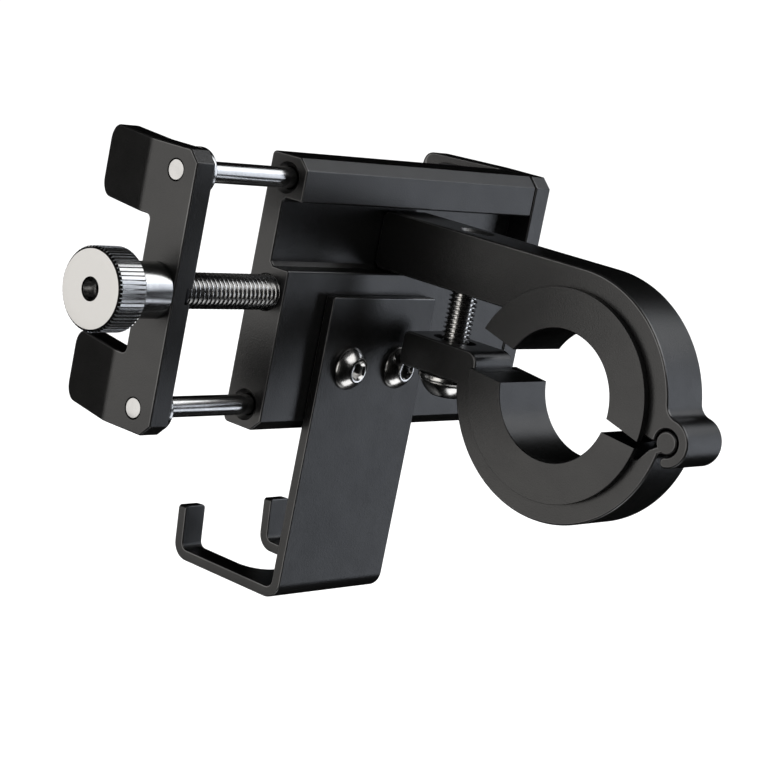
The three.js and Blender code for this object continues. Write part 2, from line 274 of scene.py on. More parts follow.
def pin(axis, corners, centre, segments):
    """A turned solid whose corners (radius, along) or (radius, along, rounding) end on the axis."""
    profile = [(max(0.0, p.x), p.y) for p in rounded(corners, 4)]
    return lathe(axis, profile, segments, centre)


def turned_ring(axis, corners, segments, centre):
    """A turned ring whose corners (radius, along) or (radius, along, rounding) close on themselves."""
    return lathe(axis, [(p.x, p.y) for p in rounded(corners, 3)], segments, centre)


def thread(axis, r, pitch, start, end, lead_in, centre):
    """A right-hand 60 degree thread from start to end, tapered over lead_in at both ends."""
    bm = bmesh.new()
    segments = TURN_STEPS
    root = r - 0.6134 * pitch           # the depth that a 60 degree thread has for its pitch
    shape = ((0.0, root), (0.125, root), (0.4375, r), (0.5625, r), (0.875, root))  # (share of a pitch, r)
    turns = int(math.ceil((end - start) / pitch)) + 1
    rows = []
    for turn in range(-1, turns + 1):
        for phase, radius in shape:
            row = []
            for k in range(segments + 1):
                along = start + (turn + phase + k / segments) * pitch
                inside = min(max(along, start), end)
                near = min(inside - start, end - inside)
                limit = root + (r - root) * min(1.0, near / lead_in)
                size = root if inside != along else min(radius, limit)
                a = 2 * math.pi * k / segments
                row.append((size, a, inside))
            rows.append(row)
    made = {}

    def vertex(size, a, along):
        key = (round(size, 5), round(a % (2 * math.pi), 5), round(along, 5))
        if key not in made:
            made[key] = bm.verts.new(TO_WORLD[axis](size * math.cos(a), size * math.sin(a), along))
        return made[key]

    grid = [[vertex(*cell) for cell in row] for row in rows]
    for low, high in zip(grid, grid[1:]):
        for k in range(segments):
            corners = []
            for v in (low[k], low[k + 1], high[k + 1], high[k]):
                if v not in corners:
                    corners.append(v)
            if len(corners) > 2 and not bm.faces.get(corners):
                bm.faces.new(corners)
    bmesh.ops.delete(bm, geom=[v for v in bm.verts if not v.link_faces], context="VERTS")
    rims = [e for e in bm.edges if len(e.link_faces) == 1]
    bmesh.ops.holes_fill(bm, edges=rims, sides=0)
    bmesh.ops.translate(bm, vec=Vector(centre), verts=bm.verts)
    return outward(bm)


def bent(bm, bends, start, heading, normal, width, thick):
    """Bends a flat plate lying in (s, w, d) = (x, y, z). Each bend is (s, degrees, middle radius).

    start is the middle of the plate's thickness at s = 0; heading and normal are unit vectors in
    the plane of the bends and width is across it. A positive bend turns towards the normal.
    """
    stations = []
    for s, angle, radius in bends:
        length = abs(math.radians(angle)) * radius
        count = max(3, int(abs(angle) / 9))
        stations += [s + length * k / count for k in range(count + 1)]
    for s in stations:
        geom = list(bm.verts) + list(bm.edges) + list(bm.faces)
        bmesh.ops.bisect_plane(bm, geom=geom, plane_co=(s, 0, 0), plane_no=(1, 0, 0), dist=1e-5)
    pieces = []
    at, along, out = Vector(start), Vector(heading), Vector(normal)
    done = 0.0
    for s, angle, radius in bends:
        pieces.append((done, s, at.copy(), along.copy(), out.copy(), 0.0, 0.0))
        at = at + along * (s - done)
        turn = math.radians(angle)
        length = abs(turn) * radius
        side = 1 if turn > 0 else -1
        pieces.append((s, s + length, at.copy(), along.copy(), out.copy(), turn, radius))
        centre = at + out * side * radius
        new_along = along * math.cos(turn) + out * math.sin(turn)
        new_out = out * math.cos(turn) - along * math.sin(turn)
        at = centre - new_out * side * radius
        along, out = new_along, new_out
        done = s + length
    pieces.append((done, 1e9, at.copy(), along.copy(), out.copy(), 0.0, 0.0))
    across = Vector(width)
    for v in bm.verts:
        s, w, d = v.co
        d -= thick / 2
        for first, last, at, along, out, turn, radius in pieces:
            if s <= last + 1e-6:
                break
        if turn:
            share = (s - first) / (last - first)
            side = 1 if turn > 0 else -1
            a = turn * share
            new_out = out * math.cos(a) - along * math.sin(a)
            place = at + out * side * radius - new_out * (side * radius - d)
        else:
            place = at + along * (s - first) + out * d
        v.co = place + across * w
    return outward(bm)


# ---------------------------------------------------------------- materials
def new_material(name):
    material = bpy.data.materials.new(name)
    material.use_nodes = True
    nodes = material.node_tree.nodes
    return material, nodes, material.node_tree.links, nodes["Principled BSDF"]


def noise(nodes, links, scale, detail, rough, stretch=None):
    """A noise texture over object coordinates; stretch squeezes it along an axis."""
    where = nodes.new("ShaderNodeTexCoord")
    texture = nodes.new("ShaderNodeTexNoise")
    texture.inputs["Scale"].default_value = scale
    texture.inputs["Detail"].default_value = detail
    texture.inputs["Roughness"].default_value = rough
    if stretch:
        mapping = nodes.new("ShaderNodeMapping")
        mapping.inputs["Scale"].default_value = stretch
        links.new(where.outputs["Object"], mapping.inputs["Vector"])
        links.new(mapping.outputs["Vector"], texture.inputs["Vector"])
    else:
        links.new(where.outputs["Object"], texture.inputs["Vector"])
    return texture.outputs["Fac"]


def ramp(nodes, links, source, stops):
    """A colour ramp from (place, colour) stops; a single number is a grey."""
    node = nodes.new("ShaderNodeValToRGB")
    elements = node.color_ramp.elements
    while len(elements) < len(stops):
        elements.new(0.5)
    for element, (place, colour) in zip(elements, stops):
        element.position = place
        rgb = colour if isinstance(colour, tuple) else (colour, colour, colour)
        element.color = (*rgb, 1)
    links.new(source, node.inputs["Fac"])
    return node.outputs["Color"]


def bump(nodes, links, height, distance, strength):
    node = nodes.new("ShaderNodeBump")
    node.inputs["Strength"].default_value = strength
    node.inputs["Distance"].default_value = distance
    links.new(height, node.inputs["Height"])
    return node.outputs["Normal"]


def anodised(name, low, high, rough):
    """Black anodised aluminium with a fine blasted grain and faint handling marks."""
    material, nodes, links, shader = new_material(name)
    shader.inputs["Metallic"].default_value = 0.96
    cloud = noise(nodes, links, 90, 4, 0.6)
    links.new(ramp(nodes, links, cloud, [(0.3, low), (0.7, high)]), shader.inputs["Base Color"])
    smear = noise(nodes, links, 260, 5, 0.65, (1.0, 0.45, 0.8))
    shine = ramp(nodes, links, smear, [(0.3, rough - 0.025), (0.72, rough + 0.025)])
    links.new(shine, shader.inputs["Roughness"])
    grain = noise(nodes, links, 3600, 2, 0.6)
    links.new(bump(nodes, links, grain, 0.00003, 0.9), shader.inputs["Normal"])
    return material


def polished(name, colour, rough, stretch):
    """Turned steel; stretch sets the run of its fine tool lines."""
    material, nodes, links, shader = new_material(name)
    shader.inputs["Metallic"].default_value = 1.0
    cloud = noise(nodes, links, 300, 3, 0.5)
    dull = tuple(0.9 * c for c in colour)
    links.new(ramp(nodes, links, cloud, [(0.35, dull), (0.65, colour)]), shader.inputs["Base Color"])
    lines = noise(nodes, links, 1.0, 3, 0.6, stretch)
    shine = ramp(nodes, links, lines, [(0.3, rough - 0.025), (0.7, rough + 0.03)])
    links.new(shine, shader.inputs["Roughness"])
    links.new(bump(nodes, links, lines, 0.0000015, 0.6), shader.inputs["Normal"])
    return material


def faced(name, colour, rough, centre, pitch):
    """A face turned on a lathe, with fine rings about centre, for faces across X."""
    material, nodes, links, shader = new_material(name)
    shader.inputs["Metallic"].default_value = 1.0
    shader.inputs["Base Color"].default_value = (*colour, 1)
    where = nodes.new("ShaderNodeTexCoord")
    flat = nodes.new("ShaderNodeVectorMath")
    flat.operation = "MULTIPLY"
    flat.inputs[1].default_value = (0, 1, 1)
    links.new(where.outputs["Object"], flat.inputs[0])
    span = nodes.new("ShaderNodeVectorMath")
    span.operation = "DISTANCE"
    span.inputs[1].default_value = (0, centre[0], centre[1])
    links.new(flat.outputs["Vector"], span.inputs[0])
    wave = nodes.new("ShaderNodeMath")
    wave.operation = "MULTIPLY"
    wave.inputs[1].default_value = 2 * math.pi / pitch
    links.new(span.outputs["Value"], wave.inputs[0])
    rings = nodes.new("ShaderNodeMath")
    rings.operation = "SINE"
    links.new(wave.outputs["Value"], rings.inputs[0])
    grain = noise(nodes, links, 1400, 1, 0.4)
    mixed = nodes.new("ShaderNodeMath")
    mixed.operation = "MULTIPLY_ADD"
    mixed.inputs[1].default_value = 0.25
    links.new(rings.outputs["Value"], mixed.inputs[0])
    links.new(grain, mixed.inputs[2])
    shine = ramp(nodes, links, grain, [(0.2, rough - 0.015), (0.8, rough + 0.02)])
    links.new(shine, shader.inputs["Roughness"])
    links.new(bump(nodes, links, mixed.outputs["Value"], 0.000002, 0.3), shader.inputs["Normal"])
    return material


def rubber_material():
    material, nodes, links, shader = new_material("black_rubber")
    cloud = noise(nodes, links, 400, 3, 0.6)
    tone = ramp(nodes, links, cloud, [(0.3, (0.010, 0.010, 0.011)), (0.7, (0.019, 0.019, 0.020))])
    links.new(tone, shader.inputs["Base Color"])
    grain = noise(nodes, links, 3200, 3, 0.6)
    shine = ramp(nodes, links, grain, [(0.3, 0.7), (0.7, 0.86)])
    links.new(shine, shader.inputs["Roughness"])
    links.new(bump(nodes, links, grain, 0.00003, 0.7), shader.inputs["Normal"])
    return material


ANODISED = anodised("black_anodised", (0.061, 0.061, 0.0615), (0.067, 0.067, 0.0668), 0.31)
# A darker copy of the black anodised for the tray; its darker colour is painted shade
TRAY_SHADED_ANODISED = anodised("black_anodised_tray_painted_shade", (0.051, 0.051, 0.0515), (0.057, 0.057, 0.0568), 0.32)
# A lighter copy of the anodised for rounded edges and hole flares: partly edge wear, partly a painted
# highlight along the edges
EDGE_WEAR_AND_HIGHLIGHT = anodised("anodised_edge_wear_and_highlight", (0.11, 0.11, 0.112), (0.19, 0.19, 0.19), 0.30)
# A darker copy of the turned steel for the parts along X (rods, collars, knob, lead screw); the darker
# colour is painted shade
STEEL_ROUND_X_PAINTED_SHADE = polished("turned_steel_x_painted_shade", (0.61, 0.61, 0.607), 0.22, (2600, 60, 60))
STEEL_ROUND_Y = polished("turned_steel_y", (0.74, 0.735, 0.725), 0.22, (60, 2600, 60))
STEEL_ROUND_Z = polished("turned_steel_z", (0.74, 0.735, 0.725), 0.22, (60, 60, 2600))
KNOB_FACE = faced("faced_steel", (0.62, 0.617, 0.61), 0.30, (MID_Y * MM, MID_Z * MM), 0.00016)
BLACK_STEEL = polished("black_steel", (0.045, 0.045, 0.048), 0.34, (900, 900, 900))
RUBBER = rubber_material()

BODY_OF = {
    node: body
    for body, members in frame["record"]["behaviour"]["bodies"].items()
    for node in members
}


# ---------------------------------------------------------------- making pieces
def raw_object(name, bm, materials):
    """A mesh object in metres from a bmesh in millimetres."""
    mesh = bpy.data.meshes.new(name)
    bmesh.ops.scale(bm, vec=(MM, MM, MM), verts=bm.verts)
    bm.to_mesh(mesh)
    bm.free()
    piece = bpy.data.objects.new(name, mesh)
    bpy.context.scene.collection.objects.link(piece)
    for material in materials:
        mesh.materials.append(material)
    return piece


def cut(piece, cutters):
    """Cuts bmesh cutters out of a piece, one after another, and takes up the result as its mesh."""
    tools = []
    for i, cutter in enumerate(cutters):
        tool = raw_object(f"cutter_{i}", cutter, list(piece.data.materials))
        modifier = piece.modifiers.new("cut", "BOOLEAN")
        modifier.operation = "DIFFERENCE"
        modifier.solver = "EXACT"
        modifier.object = tool
        tools.append(tool)
    bpy.context.view_layer.update()
    depsgraph = bpy.context.evaluated_depsgraph_get()
    mesh = bpy.data.meshes.new_from_object(piece.evaluated_get(depsgraph))
    old = piece.data
    piece.modifiers.clear()
    piece.data = mesh
    mesh.name = piece.name
    bpy.data.meshes.remove(old)
    for tool in tools:
        data = tool.data
        bpy.data.objects.remove(tool)
        bpy.data.meshes.remove(data)


def cut_plate(bm, cutters, materials):
    """The bmesh of a plate with its cutters taken out, still in millimetres, to be bent."""
    flat = raw_object("flat_plate", bm, materials)
    cut(flat, cutters)
    plate = bmesh.new()
    plate.from_mesh(flat.data)
    bmesh.ops.scale(plate, vec=(1 / MM, 1 / MM, 1 / MM), verts=plate.verts)
    data = flat.data
    bpy.data.objects.remove(flat)
    bpy.data.meshes.remove(data)
    return plate


def make(node, bm, materials, cutters=(), sharp=40, name=None, weighted=True):
    """Makes a finished piece that stands for a CAD node. Edges over sharp degrees stay hard."""
    piece = raw_object(name or f"{node}_fine", bm, materials)
    if cutters:
        cut(piece, cutters)
    mesh = piece.data
    for polygon in mesh.polygons:
        polygon.use_smooth = True
    mesh.set_sharp_from_angle(angle=math.radians(sharp))
    if weighted:
        normals = piece.modifiers.new("normals", "WEIGHTED_NORMAL")
        normals.keep_sharp = True
        normals.weight = 80
    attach(piece, BODY_OF[node])
    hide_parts(node)


def bore(axis, r, lo, hi, centre, mouth=None, flare=0):
    """A round cutter. Its mouth, if given, is "lo" or "hi" and opens in a 45 degree flare."""
    profile = [(0, lo), (r, lo), (r, hi), (0, hi)]
    marks = [0, 0, 0]
    # A flare takes material index 1, which in METAL is the lighter edge colour: edge wear and painted
    # highlight
    if mouth == "lo":
        profile = [(0, lo - 1), (r + flare, lo - 1), (r + flare, lo), (r, lo + flare), (r, hi), (0, hi)]
        marks = [0, 0, 1, 0, 0]
    if mouth == "hi":
        profile = [(0, lo), (r, lo), (r, hi - flare), (r + flare, hi), (r + flare, hi + 1), (0, hi + 1)]
        marks = [0, 0, 1, 0, 0]
    return lathe(axis, profile, TURN_STEPS, centre, marks)


# Index 1 takes rounded edges and flares: the lighter edge colour, edge wear and painted highlight
METAL = [ANODISED, EDGE_WEAR_AND_HIGHLIGHT]


# ---------------------------------------------------------------- clamp arm and upper half ring
def build_arm():
    """Profile across X: arm, half ring, neck fillet, open hinge socket and clamp seat."""
    root = arm_hi.y
    key = 1.0
    ring_end = 168.5                    # degrees, where the ring runs into the neck's fillet
    neck_y, neck_z, neck_r = -23.52, 4.785, 2.5
    neck_end = 100.65                   # degrees round the hinge, where the fillet runs out
    tip_end, socket_end = 262, -7       # degrees round the hinge: the socket's lip and its other side
    mouth_y, mouth_z, seat_start = -19.4, -2.0, 184.3
    wall = (HINGE_OUTER - HINGE_SOCKET) / 2
    tip_a = math.radians(tip_end)
    tip_y = HINGE_Y + (HINGE_SOCKET + wall) * math.cos(tip_a)
    tip_z = HINGE_Z + (HINGE_SOCKET + wall) * math.sin(tip_a)
    outline = [
        Vector((root, ARM_BOTTOM + key)), Vector((root, RING_R - key)),
        Vector((root - key, RING_R)),
    ]
    outline += arc(0, 0, RING_R, 90, ring_end, 48)
    outline += arc(neck_y, neck_z, neck_r, ring_end - 180, neck_end - 180, 12)
    outline += arc(HINGE_Y, HINGE_Z, HINGE_OUTER, neck_end, tip_end, 36)
    outline += arc(tip_y, tip_z, wall, tip_end, tip_end + 180, 14)
    outline += arc(HINGE_Y, HINGE_Z, HINGE_SOCKET, tip_end, socket_end, 44)
    outline.append(Vector((mouth_y, mouth_z)))
    outline += arc(0, 0, SEAT_R, seat_start, math.degrees(math.asin(ARM_BOTTOM / SEAT_R)), 84)
    outline.append(Vector((root - key, ARM_BOTTOM)))
    bm = prism("x", outline, arm_lo.x, arm_hi.x, 0.35, 3)
    end_hole_depth = 12.75
    top_hole = bore("z", M5_CLEAR_R, 0, RING_R, (0, BOLT_Y, 0), "hi", 0.45)
    end_hole = bore("y", M5_CLEAR_R, root - end_hole_depth, root + 1, (0, 0, ARM_SCREW_Z))
    make("clamp_arm_upper", bm, METAL, [top_hole, end_hole])


def build_lower():
    """Profile across X: hinge bead, half ring, bolt lug with its step, and clamp seat."""
    lug_round = 1.3
    lug_root = 21.4
    step_y, step_z, step_r = 17.9, -0.3, 2.2
    bead_start, bead_end = -32, 285     # degrees round the hinge, and then round the bore
    ring_start, ring_end = 190.3, 350.1
    seat_start, seat_end = 358.9, 204.3
    outline = arc(HINGE_Y, HINGE_Z, HINGE_BEAD, bead_start, bead_end, 52)
    outline += arc(0, 0, RING_R, ring_start, ring_end, 96)
    outline += rounded([
        (lug_root, LUG_BOTTOM), (lower_hi.y, LUG_BOTTOM, lug_round), (lower_hi.y, LUG_TOP, lug_round),
        (step_y, LUG_TOP, step_r), (step_y, step_z),
    ])
    outline += arc(0, 0, SEAT_R, seat_start, seat_end, 88)
    outline += [Vector((-17.6, -5.7)), Vector((-19.4, -3.5))]    # the bead's neck, on the bore's side
    half_w, half_l, slot_r = 2.9, 4, 2.8
    slot = rounded([
        (-half_w, BOLT_Y - half_l, slot_r), (half_w, BOLT_Y - half_l, slot_r),
        (half_w, BOLT_Y + half_l, slot_r), (-half_w, BOLT_Y + half_l, slot_r),
    ])
    bm = prism("x", outline, lower_lo.x, lower_hi.x, 0.35, 3)
    make("clamp_jaw_lower", bm, METAL, [prism("z", slot, LUG_BOTTOM - 1, LUG_TOP + 1, 0.1, 1)])


def build_reducer(node, side, offset, tilt):
    """Half bush cut by a flat plane, offset from the bore's middle and tilted in degrees.

    Each point of its section sweeps up to that plane.
    """
    half = ARM_W / 2 + 0.1
    edge = half + FLANGE_T
    neck_r = SEAT_R - 0.2
    inner_round, outer_round = 0.2, 0.07
    section = rounded([
        (BAR_R, -edge, inner_round), (FLANGE_R, -edge, outer_round), (FLANGE_R, -half), (neck_r, -half),
        (neck_r, half), (FLANGE_R, half), (FLANGE_R, edge, outer_round), (BAR_R, edge, inner_round),
    ], 4)
    bm = bmesh.new()
    steps = 72
    rings = []
    for k in range(steps + 1):
        ring = []
        for r, along in section:
            least = math.asin(offset / r)
            a = least + (math.pi - 2 * least) * k / steps
            a = side * a + math.radians(tilt)
            ring.append(bm.verts.new(Vector((along, r * math.cos(a), r * math.sin(a)))))
        rings.append(ring)
    skin(bm, rings, [0] * steps)
    bm.faces.new(rings[0])
    bm.faces.new(list(reversed(rings[-1])))
    bmesh.ops.recalc_face_normals(bm, faces=bm.faces)
    make(node, bm, METAL, sharp=35)


# ---------------------------------------------------------------- bolt, washer and small screws
def button_head(r, head_r, head_h, socket, face, sign):
    """Profile of a domed head with a countersunk top. sign points from its flat side to the dome."""
    brim, rim = 0.12, 0.28              # the edge under the head, and the height where the dome starts
    first, last = math.radians(28), math.radians(62)
    steps = 10
    dome = [(0, face), (r, face), (head_r - brim, face), (head_r, face + sign * brim)]
    for k in range(steps + 1):
        a = first + (last - first) * k / steps
        share = (math.sin(a) - math.sin(first)) / (math.sin(last) - math.sin(first))
        dome.append((head_r * math.cos(a) / math.cos(first), face + sign * (rim + (head_h - rim) * share)))
    mouth, foot, depth = 1.17 * socket, 0.86 * socket, 0.3 * socket
    seat = face + sign * (head_h - depth)
    dome += [(mouth, face + sign * head_h), (foot, seat), (0, seat)]
    return dome


def hex_cutter(axis, socket, lo, hi, centre):
    """A hexagonal cutter; socket is its radius over the corners."""
    return lathe(axis, [(0, lo), (socket, lo), (socket, hi), (0, hi)], 6, centre)


def build_bolt():
    """The bolt stands head down. Its threaded shank is a visual piece of its own, sunk into the head."""
    head_r, head_h, socket, socket_depth = 4.75, 2.75, 1.75, 1.65
    pitch, sunk, lead_in = 0.8, 0.3, 0.6
    under = bolt_lo.z + head_h
    centre = (0, BOLT_Y, 0)
    head = lathe("z", button_head(M5_R, head_r, head_h, socket, under, -1), 72, centre)
    hexagon = hex_cutter("z", socket, bolt_lo.z - 1, bolt_lo.z + socket_depth, centre)
    make("clamp_bolt", head, [STEEL_ROUND_Z], [hexagon])
    shank = thread("z", M5_R, pitch, under - sunk, bolt_hi.z, lead_in, centre)
    make("clamp_bolt", shank, [STEEL_ROUND_Z], sharp=50, name="clamp_bolt_thread", weighted=False)


def build_washer():
    lo, hi = box("clamp_washer")
    inner, outer = M5_CLEAR_R, 5.2
    corners = [(inner, lo.z, 0.1), (outer, lo.z, 0.2), (outer, hi.z, 0.2), (inner, hi.z, 0.1)]
    make("clamp_washer", turned_ring("z", corners, 64, (0, BOLT_Y, 0)), [STEEL_ROUND_Z])


def build_tray_screws():
    head_r, head_h, socket, socket_depth = 3.8, 2.2, 1.45, 1.3
    chamfer = 0.45
    for side in ("left", "right"):
        node = f"tray_screw_{side}"
        lo, hi = box(node)
        centre = ((lo.x + hi.x) / 2, 0, (lo.z + hi.z) / 2)
        under = lo.y + head_h
        shank = [(0, hi.y), (M4_R - chamfer, hi.y), (M4_R, hi.y - chamfer), (M4_R, under)]
        profile = shank + button_head(M4_R, head_r, head_h, socket, under, -1)[2:]
        hexagon = hex_cutter("y", socket, lo.y - 1, lo.y + socket_depth, centre)
        make(node, lathe("y", profile, 72, centre), [STEEL_ROUND_Y], [hexagon])


# ---------------------------------------------------------------- cradle block
def build_block():
    """A bar along X with the arm's channel along its back, bored for the screw, rods and fixings."""
    floor = BACK + CHANNEL_DEPTH
    corner = 0.7                        # chamfer in the channel's inner corners
    edge = 0.4                          # rounding of the back's outer corners
    outline = rounded([
        (BACK, BOTTOM + CHAMFER, edge), (BACK, CHANNEL_LOW, edge), (floor - corner, CHANNEL_LOW),
        (floor, CHANNEL_LOW + corner), (floor, CHANNEL_HIGH - corner), (floor - corner, CHANNEL_HIGH),
        (BACK, CHANNEL_HIGH, edge), (BACK, TOP - CHAMFER, edge), (BACK + CHAMFER, TOP, edge),
        (FRONT, TOP, 0.8), (FRONT, BOTTOM, 1.0), (BACK + CHAMFER, BOTTOM, edge),
    ], 5)
    bm = prism("x", outline, -HALF, HALF, 0.3, 3)
    bore_end = 24                       # x where the screw's and the rods' bores end
    jaw_tap, tray_tap = 6.3, 6.4        # depths of the tapped holes
    cutters = [bore("x", SCREW_R + 0.12, -HALF, bore_end, (0, MID_Y, MID_Z), "lo", 0.12)]
    for side in (1, -1):
        at = (0, MID_Y, MID_Z + side * ROD_SPREAD)
        cutters.append(bore("x", ROD_R + 0.2, -HALF, bore_end, at, "lo", 0.75))
        cutters.append(bore("x", M4_TAP_R, HALF - jaw_tap, HALF + 1, at))
    for node in ("tray_screw_left", "tray_screw_right"):
        lo, hi = box(node)
        at = ((lo.x + hi.x) / 2, 0, (lo.z + hi.z) / 2)
        cutters.append(bore("y", M4_TAP_R, BACK - 1, BACK + tray_tap, at))
    bore_r, sink_r, lip = 2.7, 4.8, 0.3
    cone = FRONT - lip - (sink_r - bore_r)
    sink = [(0, floor - 1), (bore_r, floor - 1), (bore_r, cone), (sink_r, FRONT - lip), (sink_r, FRONT + 1),
            (0, FRONT + 1)]
    cutters.append(lathe("y", sink, TURN_STEPS, (0, 0, ARM_SCREW_Z)))
    make("cradle_block", bm, METAL, cutters)


# ---------------------------------------------------------------- jaws
def build_jaw(node, side, inner, holes):
    """A plate bent inward. It is shaped flat in (s, z, d), with d from its inner face outward.

    inner is how far its inner face stands from the middle of the mount. Each hole takes the place
    in s of the line of the rods and returns a cutter.
    """
    start = BACK - 0.2
    straight = JAW_BEND - start
    lean = math.radians(JAW_ANGLE)
    inner_r = 1.0
    mid_r = inner_r + JAW_T / 2
    extra = 0.66                        # makes the bent prongs end at JAW_TIP
    tip = straight + (JAW_TIP - JAW_BEND - JAW_T / 2 * math.sin(lean)) / math.cos(lean) + extra
    notch = NOTCH_Y - start
    low, high = MID_Z - NOTCH_HALF, MID_Z + NOTCH_HALF
    tip_r, notch_r, back_r = 2.8, 0.9, 0.4
    edge, tip_edge = 0.3, 1.5           # the edges' rounding, and what the tips' inner edges add to it
    outline = rounded([
        (0, BOTTOM + CHAMFER, back_r), (CHAMFER, BOTTOM, back_r), (tip, BOTTOM, tip_r), (tip, low, tip_r),
        (notch, low, notch_r), (notch, high, notch_r), (tip, high, tip_r), (tip, TOP, tip_r),
        (CHAMFER, TOP, back_r), (0, TOP - CHAMFER, back_r),
    ])

    def softer(p):
        """The inner face is rounded more towards the prongs' tips."""
        share = max(0.0, (p.x - tip + tip_r) / tip_r)
        return edge + tip_edge * share ** 2

    flat = prism("z", outline, 0, JAW_T, edge, 4, softer)
    bm = cut_plate(flat, [hole(MID_Y - start) for hole in holes], METAL)
    tip_zone = tip - 3                  # sheared, so that the tips end square to Y after the bend
    for v in bm.verts:
        if v.co.x > tip_zone:
            v.co.x += (JAW_T / 2 - v.co.z) * math.tan(lean)
    bend = (straight - lean * mid_r / 2, -JAW_ANGLE, mid_r)
    place = (side * (abs(inner) + JAW_T / 2), start, 0)
    bent(bm, [bend], place, (0, 1, 0), (side, 0, 0), (0, 0, 1), JAW_T)
    make(node, bm, METAL)


def jaw_hole(profile, z):
    """A hole through a jaw at height z; its profile is in (radius, d)."""
    return lambda s: lathe("z", profile, TURN_STEPS, (s, z, 0))


def left_jaw_holes():
    """Plain rod holes, and the screw's hole with the retaining ring's seat in the inner face."""
    r = ROD_R + 0.12
    through = [(0, -1), (r, -1), (r, JAW_T + 1), (0, JAW_T + 1)]
    bore_r, seat_r, seat_d = SCREW_R + 0.3, 4.6, 1.4
    screw = [(0, -1), (seat_r, -1), (seat_r, seat_d), (bore_r, seat_d), (bore_r, JAW_T + 1), (0, JAW_T + 1)]
    rods = [jaw_hole(through, MID_Z + side * ROD_SPREAD) for side in (1, -1)]
    return rods + [jaw_hole(screw, MID_Z)]


def right_jaw_holes():
    """Countersunk holes in the outer face, clear of their screws' heads."""
    r, wide, lip = 2.15, 3.9, 0.3
    cone = JAW_T - lip - (wide - r)
    sunk = [(0, -1), (r, -1), (r, cone), (wide, JAW_T - lip), (wide, JAW_T + 1), (0, JAW_T + 1)]
    return [jaw_hole(sunk, MID_Z + side * ROD_SPREAD) for side in (1, -1)]


# ---------------------------------------------------------------- support tray
def build_tray():
    """A plate down the block's back, a floor forward and two hooks up, leaning out a little.

    It is shaped flat with s down the plate, along the floor and up the hooks.
    """
    mid_x = (tray_lo.x + tray_hi.x) / 2
    half = (tray_hi.x - tray_lo.x) / 2
    inner_r = 1.3
    mid_r = inner_r + TRAY_T / 2
    hook_run, hook_rise = 0.9, 9.55     # how far the hooks lean out over their height
    lean = math.degrees(math.atan(hook_run / hook_rise))
    lean_a = math.radians(lean)
    hook_y, hook_z = 63.9, -37.8        # the hooks' outer face at the floor's underside, and their ends
    plate_y = tray_lo.y + TRAY_T / 2
    floor_z = tray_lo.z + TRAY_T / 2
    first = tray_hi.z - floor_z - mid_r
    arc_1 = math.radians(90) * mid_r
    corner_y = hook_y + TRAY_T / 2 * (math.tan(lean_a) - 1 / math.cos(lean_a))
    tangent = mid_r * math.tan(math.radians(90 - lean) / 2)
    floor_len = corner_y - plate_y - mid_r - tangent
    arc_2 = math.radians(90 - lean) * mid_r
    rise = (hook_z - floor_z) / math.cos(lean_a) - tangent
    second = first + arc_1 + floor_len
    total = second + arc_2 + rise
    slot_y, slot, slot_r = 48, 8.7, 4.6
    slot_s = first + arc_1 + (slot_y - plate_y - mid_r)
    top_r, end_r = 0.5, 0.7
    outline = rounded([
        (0, -half, top_r), (total, -half, end_r), (total, -slot, end_r), (slot_s, -slot, slot_r),
        (slot_s, slot, slot_r), (total, slot, end_r), (total, half, end_r), (0, half, top_r),
    ])
    hole_z, hole_spread, hole_r = -5.5, 6.5, 2.2
    through = [(0, -1), (hole_r, -1), (hole_r, TRAY_T + 1), (0, TRAY_T + 1)]
    holes = [
        lathe("z", through, 40, (tray_hi.z - hole_z, side * hole_spread, 0)) for side in (-1, 1)
    ]
    # The tray's darker anodised is painted shade; index 1 is the lighter edge colour, edge wear and painted
    # highlight
    materials = [TRAY_SHADED_ANODISED, EDGE_WEAR_AND_HIGHLIGHT]
    bm = cut_plate(prism("z", outline, 0, TRAY_T, 0.25, 3), holes, materials)
    bends = [(first, 90, mid_r), (second, 90 - lean, mid_r)]
    bent(bm, bends, (mid_x, plate_y, tray_hi.z), (0, 0, -1), (0, 1, 0), (1, 0, 0), TRAY_T)
    make("support_tray", bm, materials)


# ---------------------------------------------------------------- rods, collars, knob, screw
def build_rods():
    for level, side in (("upper", 1), ("lower", -1)):
        centre = (0, MID_Y, MID_Z + side * ROD_SPREAD)
        lo, hi = box(f"guide_rod_{level}")
        corners = [(0, lo.x), (ROD_R, lo.x, 0.2), (ROD_R, hi.x, 0.4), (0, hi.x)]
        make(f"guide_rod_{level}", pin("x", corners, centre, 64), [STEEL_ROUND_X_PAINTED_SHADE])
        lo, hi = box(f"rod_collar_{level}")
        inner, outer = ROD_R + 0.02, (hi.z - lo.z) / 2
        corners = [(inner, lo.x), (outer, lo.x, 0.1), (outer, hi.x, 0.15), (inner, hi.x)]
        make(f"rod_collar_{level}", turned_ring("x", corners, 72, centre), [STEEL_ROUND_X_PAINTED_SHADE])


